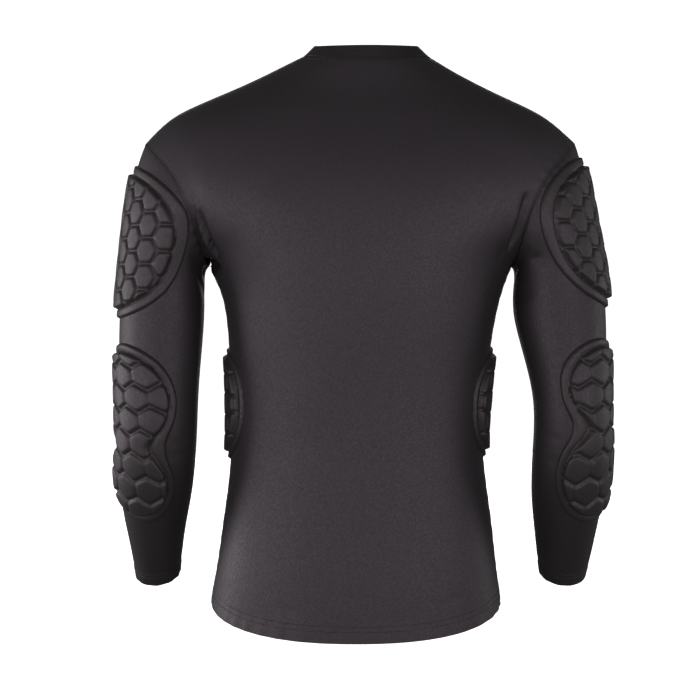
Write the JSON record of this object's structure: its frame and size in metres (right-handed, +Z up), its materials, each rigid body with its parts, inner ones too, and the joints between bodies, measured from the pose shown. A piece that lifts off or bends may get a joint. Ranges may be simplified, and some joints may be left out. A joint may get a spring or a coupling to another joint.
{
  "type": "padded compression shirt",
  "caption": "Long-sleeved crew-neck compression shirt in dark stretch knit, with raised six-sided cell pads on the shoulders, elbows and ribs, filled out as when worn.",
  "frame": {"origin": "middle of the neck hole, level with the tops of the shoulders, where the wearer carries the shirt", "axes": "+Z up from hem to neck, +Y out of the chest, +X towards the wearer's right arm"},
  "size_m": [0.5857, 0.243, 0.6806],
  "materials": {
    "knit_body": "dark charcoal smooth stretch knit with a soft sheen",
    "knit_sleeve": "the same dark charcoal stretch knit",
    "knit_band": "dark charcoal rib, folded double, matt",
    "pad_skin": "stretch cloth bonded over moulded foam cells, matt with a soft sheen"
  },
  "bodies": {
    "root": {"back": "knit_body", "front": "knit_body", "sleeve_left": "knit_sleeve", "sleeve_right": "knit_sleeve", "neck_band": "knit_band", "shoulder_pad_left": "pad_skin", "shoulder_pad_right": "pad_skin", "elbow_pad_left": "pad_skin", "elbow_pad_right": "pad_skin", "rib_pad_left": "pad_skin", "rib_pad_right": "pad_skin"}
  },
  "joints": []
}
